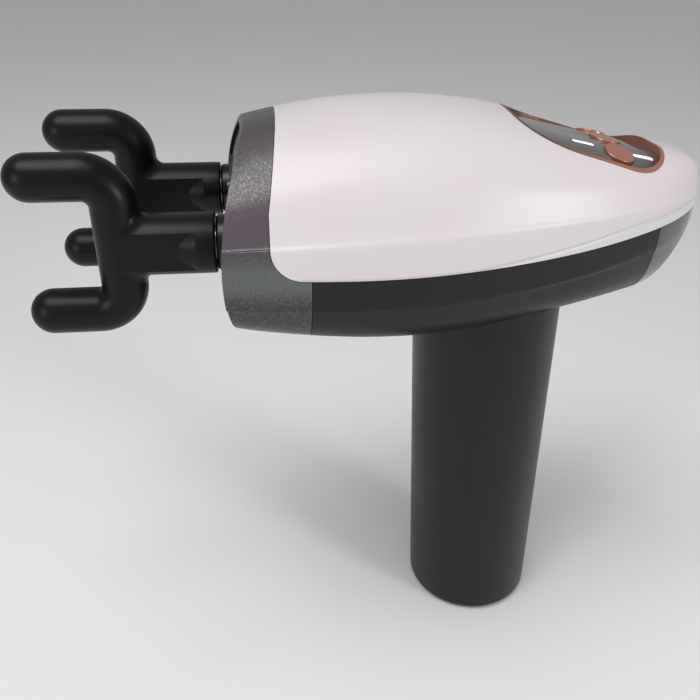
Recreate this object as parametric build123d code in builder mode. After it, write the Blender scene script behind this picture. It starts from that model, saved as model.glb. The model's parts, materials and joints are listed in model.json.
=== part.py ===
"""Twin-head massage gun: two U-shaped heads driven by one motor through a crank, a rod and a yoke.

The origin is the centre of the flat base of the handle. +Z is up, the heads strike towards -X,
and left is the -Y side. Every size is in millimetres, every angle in degrees. The model stands
as it does at rest, with the drive at its rear dead centre and both heads drawn back.
"""
import os
from math import cos, pi, radians, sin, tan

from build123d import *

os.makedirs("parts", exist_ok=True)

# ---------------------------------------------------------------- driving dimensions
# housing, an egg lying on its side: plan outline, crest, belly and the rim where cover meets shell
half_width = 40.5           # half the width at the widest station
front_narrowing = 1.5       # how much each side draws in from there to the front
widest_x = -46.0
front_x = -92.6             # foremost point of the bulged front face
front_bulge_radius = 83.7
front_bulge_z = 160.2
tail_x = 61.3
plan_power = 1.54           # the plan outline behind the widest station is a superellipse
plan_root = 1.93
crest_x = -42.0
crest_z = 200.0
crest_radius = 179.0
crest_slope = 0.222         # straight fall of the back towards the tail
belly_x = -38.5
belly_z = 127.4
belly_radius = 217.0
belly_slope = 0.147
rim_x = -51.6
rim_z = 159.5
rim_radius = 868.0
lip_height = 4.8            # upright edge of the cover at the tail
shoulder_length = 9.6       # how far ahead of the tail the crest rounds down to the lip
crown_power_front = 1.9     # roundness of the upper half of the section, front and tail
crown_power_tail = 3.0
keel_power = 2.33           # roundness of the lower half
rear_kink_x = 41.1          # where the belly turns up into the inclined rear face
wall = 2.2
seam = 0.2                  # shadow gap between neighbouring shells

# bezel and panel lines on the housing
bezel_top_x = -76.0
bezel_side_x = -79.2
bezel_corner_radius = 9.0
bezel_foot_x = -68.0
rear_cover_x = 41.6
panel_x = 19.0
panel_half_length = 25.0
panel_half_width = 21.0
panel_power = 3.0
panel_sink = 2.6            # depth of the panel under the skin of the cover
panel_thickness = 1.8
panel_rim_width = 1.1
button_x = 27.5
button_pitch = 11.8
button_radius = 4.8
button_height = 2.4
button_stand = 0.8          # how far a button stands above the panel
button_travel = 0.6
button_gap = 0.2
indicator_length = 7.0
indicator_width = 1.6
speed_indicator_x = 16.5
battery_indicator_x = 36.5
indicator_y = -9.5

# handle
handle_lean = 2.23          # the top leans forward
handle_base_radius = 24.1
handle_taper = 0.49         # degrees, wider towards the top
handle_wall = 2.2
handle_foot_round = 3.7
collar_length = 14.0        # the shell's spigot inside the handle
base_cap_radius = 18.5
base_cap_thickness = 3.0

# stroke and drive
stroke = 12.0
stroke_z = 165.4
plunger_pitch = 46.9
plunger_radius = 8.0
plunger_front_x = -93.9
running_gap = 0.05
free_gap = 0.3
bushing_wall = 2.0
bushing_flange = 1.4
guide_front_x = -84.0
guide_rear_x = -58.5
guide_wall = 2.2
yoke_depth = 12.0
yoke_height = 18.0
neck_radius = 5.5
nut_height = 4.5
crank_x = 2.0
rod_thickness = 7.0
rod_big_radius = 9.5
rod_small_radius = 6.5
rod_shank = 8.0
wrist_pin_radius = 3.0
crank_pin_radius = 3.0
crank_bearing_radius = 6.5
small_bush_radius = 4.2
crank_disc_radius = 13.0
crank_disc_thickness = 4.0

# motor
shaft_radius = 2.5
bell_radius = 20.5
bell_wall = 1.6
magnet_thickness = 1.6
air_gap = 0.6
stator_core_radius = 7.5
stator_teeth = 9
magnet_count = 12
frame_thickness = 2.5
frame_z = 138.0             # underside of the frame's floor plate
motor_flange_radius = 15.0
bearing_radius = 4.5
bearing_width = 3.0

# heads
prong_radius = 6.6
prong_offset = 20.0         # from the stroke axis to each prong
prong_tip_x = -142.4        # centre of the rounded tip
bar_x = -121.3
bend_radius = 8.2
stem_radius = 8.67
stem_flat_start_x = -105.0
stem_round_x = -99.6
stem_end_x = -94.2
stem_chamfer = 0.5
plug_radius = 5.3
key_width = 2.2
key_reach = 7.0
key_length = 2.6
key_gap = 0.1
plug_length = 16.5
ring_section = 0.8

# power
cell_radius = 9.2
cell_length = 65.0
cell_base = 44.0
board_thickness = 1.6

# ---------------------------------------------------------------- housing surface
tail_span = tail_x - widest_x


def crest(x):
    """Height of the back above the floor: an arc that runs out into a straight fall."""
    run_out = crest_x + crest_radius * crest_slope
    arc_x = min(x, run_out)
    return crest_z - (arc_x - crest_x) ** 2 / (2 * crest_radius) - crest_slope * (x - arc_x)


def belly(x):
    """Height of the belly: an arc that runs out into a straight rise."""
    run_out = belly_x + belly_radius * belly_slope
    arc_x = min(x, run_out)
    return belly_z + (arc_x - belly_x) ** 2 / (2 * belly_radius) + belly_slope * (x - arc_x)


def rim(x):
    """Height of the widest line, where the cover meets the lower shell."""
    return rim_z + (x - rim_x) ** 2 / (2 * rim_radius)


def plan_half_width(x, inset):
    """Half the width at x: drawn in a little to the front, a superellipse to the tail."""
    if x <= widest_x:
        draw_in = front_narrowing * ((widest_x - x) / (widest_x - front_x)) ** 2
        return half_width - draw_in - inset
    share = (x - widest_x) / (tail_span - inset)
    return (half_width - inset) * (1 - share ** plan_power) ** (1 / plan_root)


def crown_top(x, inset):
    """Top of the section at x, rounded down to the lip at the tail."""
    top = crest(x) - inset
    shoulder_x = tail_x - inset - shoulder_length
    if x <= shoulder_x:
        return top
    lip_top = rim(tail_x) + lip_height - inset
    share = (x - shoulder_x) / shoulder_length
    return lip_top + (top - lip_top) * (1 - share ** 2) ** 0.5


def section_points(x, inset, upper):
    """Points from the near rim over the crown, or under the keel, to the far rim."""
    tail_share = (x - front_x) / (tail_x - front_x)
    if upper:
        power = crown_power_front + (crown_power_tail - crown_power_front) * tail_share
        height = crown_top(x, inset) - rim(x)
    else:
        power = keel_power
        height = belly(x) + inset - rim(x)
    points = []
    for step in range(13):
        turn = pi * step / 12
        across = abs(cos(turn)) ** (2 / power) * (1 if step < 6 else -1)
        rise = abs(sin(turn)) ** (2 / power)
        points.append((plan_half_width(x, inset) * across, rim(x) + height * rise))
    return points


def hull(inset):
    """The whole housing as one solid, or its hollow when drawn in by a wall."""
    tail_turns = [0, 14, 28, 41, 53, 64, 73, 80, 86]
    stations = [front_x - 4.0, (front_x + widest_x) / 2]
    stations += [widest_x + (tail_span - inset) * sin(radians(turn)) for turn in tail_turns]
    with BuildPart() as solid:
        for x in stations:
            with BuildSketch(Plane.YZ.offset(x)):
                with BuildLine():
                    Spline(*section_points(x, inset, True), tangents=[(0, 1), (0, -1)])
                    Spline(*section_points(x, inset, False), tangents=[(0, -1), (0, 1)])
                make_face()
        loft()
        # the inclined rear face runs from the kink in the belly up to the rim at the tail
        face_run = tail_x - rear_kink_x
        face_rise = rim(tail_x) - belly(rear_kink_x)
        face_length = (face_run ** 2 + face_rise ** 2) ** 0.5
        shift = inset * face_length / face_rise
        with BuildSketch(Plane.XZ):
            with BuildLine():
                Polyline(
                    (rear_kink_x - face_run - shift, belly(rear_kink_x) - face_rise),
                    (tail_x - shift, rim(tail_x)),
                    (tail_x + face_run, rim(tail_x)),
                    (tail_x + face_run, belly(rear_kink_x) - face_rise),
                    close=True,
                )
            make_face()
        extrude(amount=half_width * 2, both=True, mode=Mode.SUBTRACT)
    return solid.part


def front_cylinder(depth):
    """Everything behind the bulged front face, from a depth under it."""
    with BuildPart() as solid:
        with BuildSketch(Plane.XZ):
            with Locations((front_x + front_bulge_radius, front_bulge_z)):
                Circle(front_bulge_radius - depth)
        extrude(amount=half_width * 2, both=True)
    return solid.part


def cover_zone(margin):
    """Side view of the cover's territory, above the rim and behind the bezel."""
    top_z = crest_z + 20
    with BuildPart() as solid:
        with BuildSketch(Plane.XZ):
            with BuildLine():
                front = Polyline(
                    (tail_x + 10, top_z),
                    (bezel_top_x + 0.6, top_z),
                    (bezel_top_x, crest(bezel_top_x)),
                    (bezel_side_x, stroke_z + 12),
                    (bezel_side_x, rim(bezel_side_x)),
                )
                middle = (bezel_side_x + tail_x + 10) / 2
                ThreePointArc(front @ 1, (middle, rim(middle)), (tail_x + 10, rim(tail_x + 10)))
                Line((tail_x + 10, rim(tail_x + 10)), front @ 0)
            make_face()
            fillet(vertices().group_by(Axis.Y)[0].sort_by(Axis.X)[0], bezel_corner_radius)
            offset(amount=-margin, kind=Kind.INTERSECTION)
        extrude(amount=half_width * 2, both=True)
    return solid.part


def slab(low_x, high_x, low_z, high_z):
    """A block across the whole width between two lengths and two heights."""
    with BuildPart() as solid:
        with BuildSketch(Plane.XZ):
            with Locations(((low_x + high_x) / 2, (low_z + high_z) / 2)):
                Rectangle(high_x - low_x, high_z - low_z)
        extrude(amount=half_width * 2, both=True)
    return solid.part


def finish(piece, name):
    """Label a finished piece and write it to its own file."""
    piece.part.label = name
    export_step(piece.part, f"parts/{name}.step")




def skin_z(x, y, inset):
    """Height of the upper skin, drawn in by inset, over a point of the plan."""
    tail_share = (x - front_x) / (tail_x - front_x)
    power = crown_power_front + (crown_power_tail - crown_power_front) * tail_share
    share = abs(y) / plan_half_width(x, inset)
    return rim(x) + (crown_top(x, inset) - rim(x)) * (1 - share ** power) ** (1 / power)


def panel_prism(margin):
    """Upright prism over the panel's rounded outline, grown by margin."""
    long_half = panel_half_length + margin
    wide_half = panel_half_width + margin
    outline = []
    for step in range(24):
        turn = 2 * pi * step / 24
        along = abs(cos(turn)) ** (2 / panel_power) * (1 if cos(turn) > 0 else -1)
        across = abs(sin(turn)) ** (2 / panel_power) * (1 if sin(turn) > 0 else -1)
        outline.append((panel_x + long_half * along, wide_half * across))
    with BuildPart() as solid:
        with BuildSketch(Plane.XY.offset(stroke_z)):
            with BuildLine():
                Spline(*outline, periodic=True)
            make_face()
        extrude(amount=crest_z + 20 - stroke_z)
    return solid.part


def indicator_prism(x, margin):
    """Upright prism over one indicator window."""
    with BuildPart() as solid:
        with BuildSketch(Plane.XY.offset(stroke_z)):
            with Locations((x, indicator_y)):
                SlotOverall(indicator_length + 2 * margin, indicator_width + 2 * margin)
        extrude(amount=crest_z + 20 - stroke_z)
    return solid.part


def screw_set(places, plane, head_radius, head_height, shank_radius, length):
    """Socket-head screws: heads stand on the plane, shanks run down from it."""
    with BuildPart() as solid:
        with BuildSketch(plane):
            with Locations(places):
                Circle(head_radius)
        extrude(amount=head_height)
        with BuildSketch(plane):
            with Locations(places):
                Circle(shank_radius)
        extrude(amount=-length)
        with BuildSketch(plane.offset(head_height)):
            with Locations(places):
                RegularPolygon(head_radius * 0.55, 6)
        extrude(amount=-head_height * 0.6, mode=Mode.SUBTRACT)
    return solid


outer = hull(0)
inner = hull(wall)
panel_floor = hull(panel_sink)
panel_under = hull(panel_sink + panel_thickness)
ledge_thickness = 1.4
ledge_width = 2.6
ledge_under = hull(panel_sink + panel_thickness + ledge_thickness)
sky_z = crest_z + 30
ground_z = belly_z - 30
sides = {"left": -plunger_pitch / 2, "right": plunger_pitch / 2}

# ---------------------------------------------------------------- planes of the tilted pieces
lean = radians(handle_lean)
handle_plane = Plane(origin=(0, 0, 0), x_dir=(cos(lean), 0, sin(lean)), z_dir=(-sin(lean), 0, cos(lean)))


def panel_plane(x, y, sink):
    """A plane that touches the skin, drawn in by a sink, over a point of the plan, +Z outwards."""
    step = 0.5
    along_rise = skin_z(x + step, y, sink) - skin_z(x - step, y, sink)
    across_rise = skin_z(x, y + step, sink) - skin_z(x, y - step, sink)
    along = Vector(2 * step, 0, along_rise)
    across = Vector(0, 2 * step, across_rise)
    return Plane(origin=(x, y, skin_z(x, y, sink)), x_dir=along, z_dir=along.cross(across))


# ---------------------------------------------------------------- control panel on the cover
board_depth = panel_sink + panel_thickness + 7.0
board_length = 51.0
board_width = 27.0
board_screw_reach = panel_half_length - 1.6
board_plane = panel_plane(panel_x, 0, panel_sink).offset(panel_sink - board_depth)
board_posts = [(-board_screw_reach, 0), (board_screw_reach, 0)]
post_radius = 2.0
pilot_radius = 0.9

with BuildPart() as posts:
    with BuildSketch(board_plane):
        with Locations(board_posts):
            Circle(post_radius)
    extrude(amount=board_depth)
    add(panel_under, mode=Mode.INTERSECT)
    with BuildSketch(board_plane):
        with Locations(board_posts):
            Circle(pilot_radius)
    extrude(amount=4.0, mode=Mode.SUBTRACT)

with BuildPart() as pocket:
    add(outer)
    add(panel_prism(1.2), mode=Mode.INTERSECT)
    add(panel_prism(0), mode=Mode.SUBTRACT)
    add(ledge_under, mode=Mode.SUBTRACT)

with BuildPart() as ledge:
    add(panel_under)
    add(panel_prism(0.6), mode=Mode.INTERSECT)
    add(panel_prism(-ledge_width), mode=Mode.SUBTRACT)
    add(ledge_under, mode=Mode.SUBTRACT)

tongue_depth = 3.0
tongue_width = 1.0
tongue_gap = 0.1
with BuildPart() as tongue:
    add(hull(wall + tongue_gap))
    add(hull(wall + tongue_gap + tongue_width), mode=Mode.SUBTRACT)
    add(slab(bezel_foot_x + 3, rear_cover_x - 4, rim_z - tongue_depth, rim_z + 20), mode=Mode.INTERSECT)
    add(cover_zone(tongue_depth * 0.6), mode=Mode.SUBTRACT)

with BuildPart() as tongue_root:
    add(hull(wall - 0.4))
    add(hull(wall + tongue_gap + tongue_width), mode=Mode.SUBTRACT)
    add(slab(bezel_foot_x + 3, rear_cover_x - 4, rim_z - tongue_depth, rim_z + 20), mode=Mode.INTERSECT)
    add(cover_zone(0.2), mode=Mode.INTERSECT)
    add(cover_zone(3.0), mode=Mode.SUBTRACT)

with BuildPart() as top_cover:
    add(outer)
    add(inner, mode=Mode.SUBTRACT)
    add(cover_zone(seam / 2), mode=Mode.INTERSECT)
    add(panel_prism(0), mode=Mode.SUBTRACT)
    add(pocket.part)
    add(ledge.part)
    add(posts.part)
    add(tongue.part)
    add(tongue_root.part)
finish(top_cover, "top_cover")

with BuildPart() as panel_rim:
    add(outer)
    add(panel_prism(-0.05), mode=Mode.INTERSECT)
    add(panel_prism(-panel_rim_width), mode=Mode.SUBTRACT)
    add(panel_under, mode=Mode.SUBTRACT)
finish(panel_rim, "panel_rim")

button_sides = {"button_minus": -button_pitch, "button_power": 0, "button_plus": button_pitch}
with BuildPart() as control_panel:
    add(panel_floor)
    add(panel_prism(-panel_rim_width - 0.1), mode=Mode.INTERSECT)
    add(panel_under, mode=Mode.SUBTRACT)
    for side_y in button_sides.values():
        with BuildSketch(panel_plane(button_x, side_y, panel_sink)):
            Circle(button_radius + button_gap)
        extrude(amount=panel_sink * 2, both=True, mode=Mode.SUBTRACT)
    for window_x in (speed_indicator_x, battery_indicator_x):
        add(indicator_prism(window_x, 0.1), mode=Mode.SUBTRACT)
finish(control_panel, "control_panel")

for window_name, window_x in (("speed", speed_indicator_x), ("battery", battery_indicator_x)):
    with BuildPart() as window:
        add(panel_floor)
        add(indicator_prism(window_x, 0), mode=Mode.INTERSECT)
        add(panel_under, mode=Mode.SUBTRACT)
    finish(window, f"{window_name}_indicator")

flange_drop = panel_thickness + 1.0
flange_thickness = 0.8
stem_length = 1.2
switch_gap = 0.1
for button_name, side_y in button_sides.items():
    top_plane = panel_plane(button_x, side_y, panel_sink).offset(button_stand)
    with BuildPart() as button:
        with BuildSketch(top_plane):
            Circle(button_radius)
        extrude(amount=-(button_stand + flange_drop))
        fillet(button.edges().group_by(Axis.Z)[-1], 0.35)
        with BuildSketch(top_plane.offset(-button_stand - flange_drop)):
            Circle(button_radius + 0.6)
        extrude(amount=-flange_thickness)
        with BuildSketch(top_plane.offset(-button_stand - flange_drop - flange_thickness)):
            Circle(1.4)
        extrude(amount=-stem_length)
    finish(button, button_name)

with BuildPart() as control_board:
    with BuildSketch(board_plane):
        RectangleRounded(board_length, board_width * 0.6, 3)
        Rectangle(board_length - 14, board_width)
        with Locations(board_posts):
            Circle(pilot_radius + 0.3, mode=Mode.SUBTRACT)
    extrude(amount=-board_thickness)
finish(control_board, "control_board")

switch_side = 5.2
with BuildPart() as tact_switches:
    for side_y in button_sides.values():
        stem_foot = flange_drop + flange_thickness + stem_length + button_travel + switch_gap
        tip = panel_plane(button_x, side_y, panel_sink).offset(-stem_foot).origin
        spot = board_plane.to_local_coords(tip)
        with BuildSketch(board_plane):
            with Locations((spot.X, spot.Y)):
                Circle(1.0)
        extrude(amount=spot.Z - 0.5)
        with BuildSketch(board_plane):
            with Locations((spot.X, spot.Y)):
                Rectangle(switch_side, switch_side)
        extrude(amount=spot.Z - 1.3)
finish(tact_switches, "tact_switches")

board_screws = screw_set(
    board_posts, Plane(board_plane.offset(-board_thickness).origin, x_dir=board_plane.x_dir,
                       z_dir=-board_plane.z_dir), 1.7, 1.2, pilot_radius, board_thickness + 3.5)
finish(board_screws, "board_screws")

# ---------------------------------------------------------------- bezel, front plate, lower shell
with BuildPart() as front_bezel:
    add(outer)
    add(inner, mode=Mode.SUBTRACT)
    add(front_cylinder(0), mode=Mode.INTERSECT)
    add(slab(front_x - 10, bezel_foot_x - seam / 2, ground_z, sky_z), mode=Mode.INTERSECT)
    add(cover_zone(-seam / 2), mode=Mode.SUBTRACT)
finish(front_bezel, "front_bezel")

plate_sink = 1.2
plate_thickness = 2.6
port_radius = 11.2
plate_screw_z = 8.0
plate_screws = [(0, stroke_z - plate_screw_z), (0, stroke_z + plate_screw_z)]
plate_back_x = front_x + plate_sink + plate_thickness
with BuildPart() as front_plate:
    add(hull(wall + 0.45))
    add(front_cylinder(plate_sink), mode=Mode.INTERSECT)
    add(front_cylinder(plate_sink + plate_thickness), mode=Mode.SUBTRACT)
    add(slab(front_x - 10, bezel_foot_x, ground_z, sky_z), mode=Mode.INTERSECT)
    add(front_bezel.part, mode=Mode.SUBTRACT)
    with BuildSketch(Plane.YZ.offset(plate_back_x - 1)):
        with Locations(plate_screws):
            Circle(3.4)
    extrude(amount=guide_front_x - plate_back_x + 1)
    with BuildSketch(Plane.YZ.offset(front_x - 5)):
        with Locations(*[(side_y, stroke_z) for side_y in sides.values()]):
            Circle(port_radius)
        with Locations(plate_screws):
            Circle(1.6)
    extrude(amount=40, mode=Mode.SUBTRACT)
    with BuildSketch(Plane.YZ.offset(front_x - 5)):
        with Locations(plate_screws):
            Circle(3.0)
    extrude(amount=5 + plate_sink + 1.6, mode=Mode.SUBTRACT)
finish(front_plate, "front_plate")

frame_feet = [(guide_rear_x + 5, -10.5), (guide_rear_x + 5, 10.5)]
rear_foot = (crank_x + 20.5, 0)      # a plain rest under the frame's tail
foot_pilot = 1.25
belly_at_handle = belly(0)
collar_gap = 0.6
spigot_outer = handle_base_radius + belly_at_handle * tan(radians(handle_taper)) - handle_wall - collar_gap
spigot_inner = spigot_outer - 2.4
with BuildPart() as feet:
    with BuildSketch(Plane.XY.offset(frame_z)):
        with Locations(frame_feet + [rear_foot]):
            Circle(3.2)
    extrude(amount=-9)
    add(outer, mode=Mode.INTERSECT)

with BuildPart() as lower_shell:
    add(outer)
    add(inner, mode=Mode.SUBTRACT)
    add(slab(bezel_foot_x + seam / 2, rear_cover_x - seam / 2, ground_z, sky_z), mode=Mode.INTERSECT)
    add(cover_zone(-seam / 2), mode=Mode.SUBTRACT)
    add(feet.part)
    with BuildSketch(handle_plane.offset(belly_at_handle - collar_length)):
        Circle(spigot_outer)
    extrude(amount=collar_length + 1.5)
    with BuildSketch(handle_plane.offset(belly_at_handle - collar_length - 5)):
        Circle(spigot_inner)
    extrude(amount=collar_length + 20, mode=Mode.SUBTRACT)
    with BuildSketch(Plane.XY.offset(frame_z)):
        with Locations(frame_feet):
            Circle(foot_pilot)
    extrude(amount=-6, mode=Mode.SUBTRACT)
finish(lower_shell, "lower_shell")

with BuildPart() as rear_cover:
    add(outer)
    add(inner, mode=Mode.SUBTRACT)
    add(slab(rear_cover_x + seam / 2, tail_x + 10, ground_z, sky_z), mode=Mode.INTERSECT)
    add(cover_zone(-seam / 2), mode=Mode.SUBTRACT)
finish(rear_cover, "rear_cover")

# ---------------------------------------------------------------- handle
handle_length = 150.0
handle_growth = tan(radians(handle_taper))


def handle_radius(height):
    """Outer radius of the handle at a height along its axis."""
    return handle_base_radius + height * handle_growth


def handle_cone(inset):
    """The leaning handle as a solid cone, drawn in by inset, cut flat at the floor."""
    start = -5.0
    with BuildPart() as solid:
        for height in (start, handle_length):
            with BuildSketch(handle_plane.offset(height)):
                Circle(handle_radius(height) - inset)
        loft()
        split(bisect_by=Plane.XY, keep=Keep.TOP)
    return solid.part


with BuildPart() as handle_shell:
    add(handle_cone(0))
    fillet(handle_shell.edges().group_by(Axis.Z)[0], handle_foot_round)
    add(handle_cone(handle_wall), mode=Mode.SUBTRACT)
    with BuildSketch(Plane.XY):
        Circle(handle_radius(0) - handle_wall + 0.5)
        Circle(base_cap_radius + 0.1, mode=Mode.SUBTRACT)
    extrude(amount=base_cap_thickness)
    add(outer, mode=Mode.SUBTRACT)
finish(handle_shell, "handle_shell")

inlet_x = 10.5
inlet_radius = 4.0
cap_screw_circle = base_cap_radius - 3.2
cap_screws = [(-cap_screw_circle, 0), (0, -cap_screw_circle), (0, cap_screw_circle)]
cap_flange = 1.6
with BuildPart() as base_cap:
    with BuildSketch(Plane.XY):
        Circle(base_cap_radius)
    extrude(amount=base_cap_thickness)
    with BuildSketch(Plane.XY.offset(base_cap_thickness)):
        Circle(handle_radius(0) - handle_wall - 0.3)
    extrude(amount=cap_flange)
    with BuildSketch(Plane.XY):
        with Locations((inlet_x, 0)):
            Circle(inlet_radius)
        with Locations(cap_screws):
            Circle(1.3)
    extrude(amount=20, mode=Mode.SUBTRACT)
    with BuildSketch(Plane.XY):
        with Locations(cap_screws):
            Circle(2.4)
    extrude(amount=1.8, mode=Mode.SUBTRACT)
finish(base_cap, "base_cap")

socket_depth = 11.0
with BuildPart() as charge_socket:
    with BuildSketch(Plane.XY.offset(0.6)):
        with Locations((inlet_x, 0)):
            Circle(inlet_radius)
    extrude(amount=base_cap_thickness + cap_flange - 0.6)
    with BuildSketch(Plane.XY.offset(base_cap_thickness + cap_flange)):
        with Locations((inlet_x, 0)):
            Rectangle(9, 9)
    extrude(amount=socket_depth - base_cap_thickness)
    with BuildSketch(Plane.XY):
        with Locations((inlet_x, 0)):
            Circle(2.8)
            Circle(0.65, mode=Mode.SUBTRACT)
    extrude(amount=9.5, mode=Mode.SUBTRACT)
finish(charge_socket, "charge_socket")

cap_screw_plane = Plane(origin=(0, 0, 1.8), x_dir=(1, 0, 0), z_dir=(0, 0, -1))
base_screws = screw_set([(x, -y) for x, y in cap_screws], cap_screw_plane, 2.2, 1.4, 1.25, 6.0)
finish(base_screws, "base_screws")

# battery pack: three cells in a triangle between two end holders, on the handle's axis
cell_circle = (cell_radius + 0.05) * 2 / 3 ** 0.5
holder_thickness = 4.0
holder_grip = 2.5
holder_radius = handle_radius(cell_base) - handle_wall - 0.4
with BuildPart() as battery_cells:
    with BuildSketch(handle_plane.offset(cell_base)):
        with PolarLocations(cell_circle, 3):
            Circle(cell_radius)
    extrude(amount=cell_length)
    with BuildSketch(handle_plane.offset(cell_base + cell_length)):
        with PolarLocations(cell_circle, 3):
            Circle(3.0)
    extrude(amount=0.9)
finish(battery_cells, "battery_cells")

with BuildPart() as battery_holders:
    for end, inward in ((cell_base, 1), (cell_base + cell_length, -1)):
        with BuildSketch(handle_plane.offset(end + inward * holder_grip)):
            Circle(holder_radius)
        extrude(amount=-inward * (holder_thickness + holder_grip))
        with BuildSketch(handle_plane.offset(end + inward * holder_grip)):
            with PolarLocations(cell_circle, 3):
                Circle(cell_radius)
        extrude(amount=-inward * (holder_grip + 1.0), mode=Mode.SUBTRACT)
        with BuildSketch(handle_plane.offset(end + inward * holder_grip)):
            Circle(3.0)
        extrude(amount=-inward * 20, mode=Mode.SUBTRACT)
finish(battery_holders, "battery_holders")

drive_board_width = 34.0
drive_board_low = 16.5
drive_board_high = cell_base - holder_thickness - 1.5
drive_board_plane = Plane(origin=(-4, 0, 0), x_dir=(0, 1, 0), z_dir=(1, 0, 0))
drive_board_middle = (drive_board_low + drive_board_high) / 2
with BuildPart() as drive_board:
    with BuildSketch(drive_board_plane):
        with Locations((0, drive_board_middle)):
            Rectangle(drive_board_width, drive_board_high - drive_board_low)
    extrude(amount=-board_thickness)
finish(drive_board, "drive_board")

with BuildPart() as board_parts:
    with BuildSketch(drive_board_plane):
        with Locations((0, drive_board_middle + 4)):
            with GridLocations(6.4, 7.0, 3, 2):
                Rectangle(5.0, 6.0)
    extrude(amount=1.2)
    with BuildSketch(drive_board_plane):
        with Locations((-12.5, drive_board_middle), (12.5, drive_board_middle)):
            Circle(3.0)
    extrude(amount=7.0)
finish(board_parts, "board_parts")

# ---------------------------------------------------------------- drive frame and guides
guide_length = guide_rear_x - guide_front_x
bushing_radius = plunger_radius + running_gap + bushing_wall
guide_radius = bushing_radius + guide_wall
frame_half = 14.0
motor_seat_radius = 18.0
frame_tail_x = rear_foot[0] + 4.0
motor_screw_circle = 12.0
with BuildPart() as drive_frame:
    with BuildSketch(Plane.XY.offset(frame_z)):
        with Locations(((guide_front_x + crank_x) / 2, 0)):
            Rectangle(crank_x - guide_front_x, frame_half * 2)
        with Locations((crank_x, 0)):
            Circle(motor_seat_radius)
        with Locations(((crank_x + frame_tail_x) / 2, 0)):
            Rectangle(frame_tail_x - crank_x, 11)
    extrude(amount=frame_thickness)
    with BuildSketch(Plane.XY.offset(frame_z)):
        with Locations(frame_feet):
            Circle(foot_pilot + 0.2)
        with Locations((crank_x, 0)):
            Circle(bearing_radius + 1.3)
            with PolarLocations(motor_screw_circle, 4, 45):
                Circle(1.25)
    extrude(amount=frame_thickness, mode=Mode.SUBTRACT)
    with BuildSketch(Plane.YZ.offset(guide_front_x)):
        with Locations((0, stroke_z)):
            SlotOverall(plunger_pitch + 2 * guide_radius, 2 * guide_radius)
        with Locations((0, (frame_z + stroke_z) / 2)):
            Rectangle(frame_half * 2, stroke_z - frame_z)
        with Locations(*[(side_y, stroke_z) for side_y in sides.values()]):
            Circle(bushing_radius, mode=Mode.SUBTRACT)
    extrude(amount=guide_length)
    with BuildSketch(Plane.YZ.offset(guide_front_x)):
        with Locations(plate_screws):
            Circle(1.25)
    extrude(amount=10, mode=Mode.SUBTRACT)
    with BuildSketch(Plane.YZ.offset(guide_rear_x)):
        with Locations((0, stroke_z)):
            Rectangle(14, 14)
    extrude(amount=-guide_length + 12, mode=Mode.SUBTRACT)
finish(drive_frame, "drive_frame")

frame_screws = screw_set(
    frame_feet, Plane.XY.offset(frame_z + frame_thickness), 2.3, 1.6, foot_pilot, 7.5)
finish(frame_screws, "frame_screws")

plate_screw_plane = Plane(
    origin=(front_x + plate_sink + 1.6, 0, 0), x_dir=(0, -1, 0), z_dir=(-1, 0, 0))
plate_screw_set = screw_set(
    [(-y, z) for y, z in plate_screws], plate_screw_plane, 2.7, 1.3, 1.25, 14.0)
finish(plate_screw_set, "plate_screws")

seal_back_x = guide_front_x - bushing_flange - 0.2
seal_flange = 1.2
seal_nose = 4.2
for side_name, side_y in sides.items():
    with BuildPart() as bushing:
        with BuildSketch(Plane.YZ.offset(guide_front_x)):
            with Locations((side_y, stroke_z)):
                Circle(bushing_radius)
        extrude(amount=guide_length)
        with BuildSketch(Plane.YZ.offset(guide_front_x)):
            with Locations((side_y, stroke_z)):
                Circle(bushing_radius + 1.2)
        extrude(amount=-bushing_flange)
        with BuildSketch(Plane.YZ.offset(guide_front_x - bushing_flange)):
            with Locations((side_y, stroke_z)):
                Circle(plunger_radius + running_gap)
        extrude(amount=guide_length + bushing_flange, mode=Mode.SUBTRACT)
    finish(bushing, f"guide_bushing_{side_name}")

    with BuildPart() as seal:
        with BuildSketch(Plane.YZ.offset(seal_back_x)):
            with Locations((side_y, stroke_z)):
                Circle(port_radius + 0.5)
        extrude(amount=-seal_flange)
        with BuildSketch(Plane.YZ.offset(seal_back_x - seal_flange)):
            with Locations((side_y, stroke_z)):
                Circle(port_radius - 0.1)
        extrude(amount=-seal_nose)
        with BuildSketch(Plane.YZ.offset(seal_back_x)):
            with Locations((side_y, stroke_z)):
                Circle(plunger_radius + free_gap)
        extrude(amount=-(seal_flange + seal_nose), mode=Mode.SUBTRACT)
    finish(seal, f"plunger_seal_{side_name}")

# ---------------------------------------------------------------- plungers, yoke and rod
yoke_front_x = guide_rear_x + stroke + 1.0
yoke_rear_x = yoke_front_x + yoke_depth
yoke_half = plunger_pitch / 2 + 8.0
wrist_x = yoke_rear_x - 5.5
crank_pin_x = crank_x + stroke / 2
socket_length = plug_length + 1.5

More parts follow.
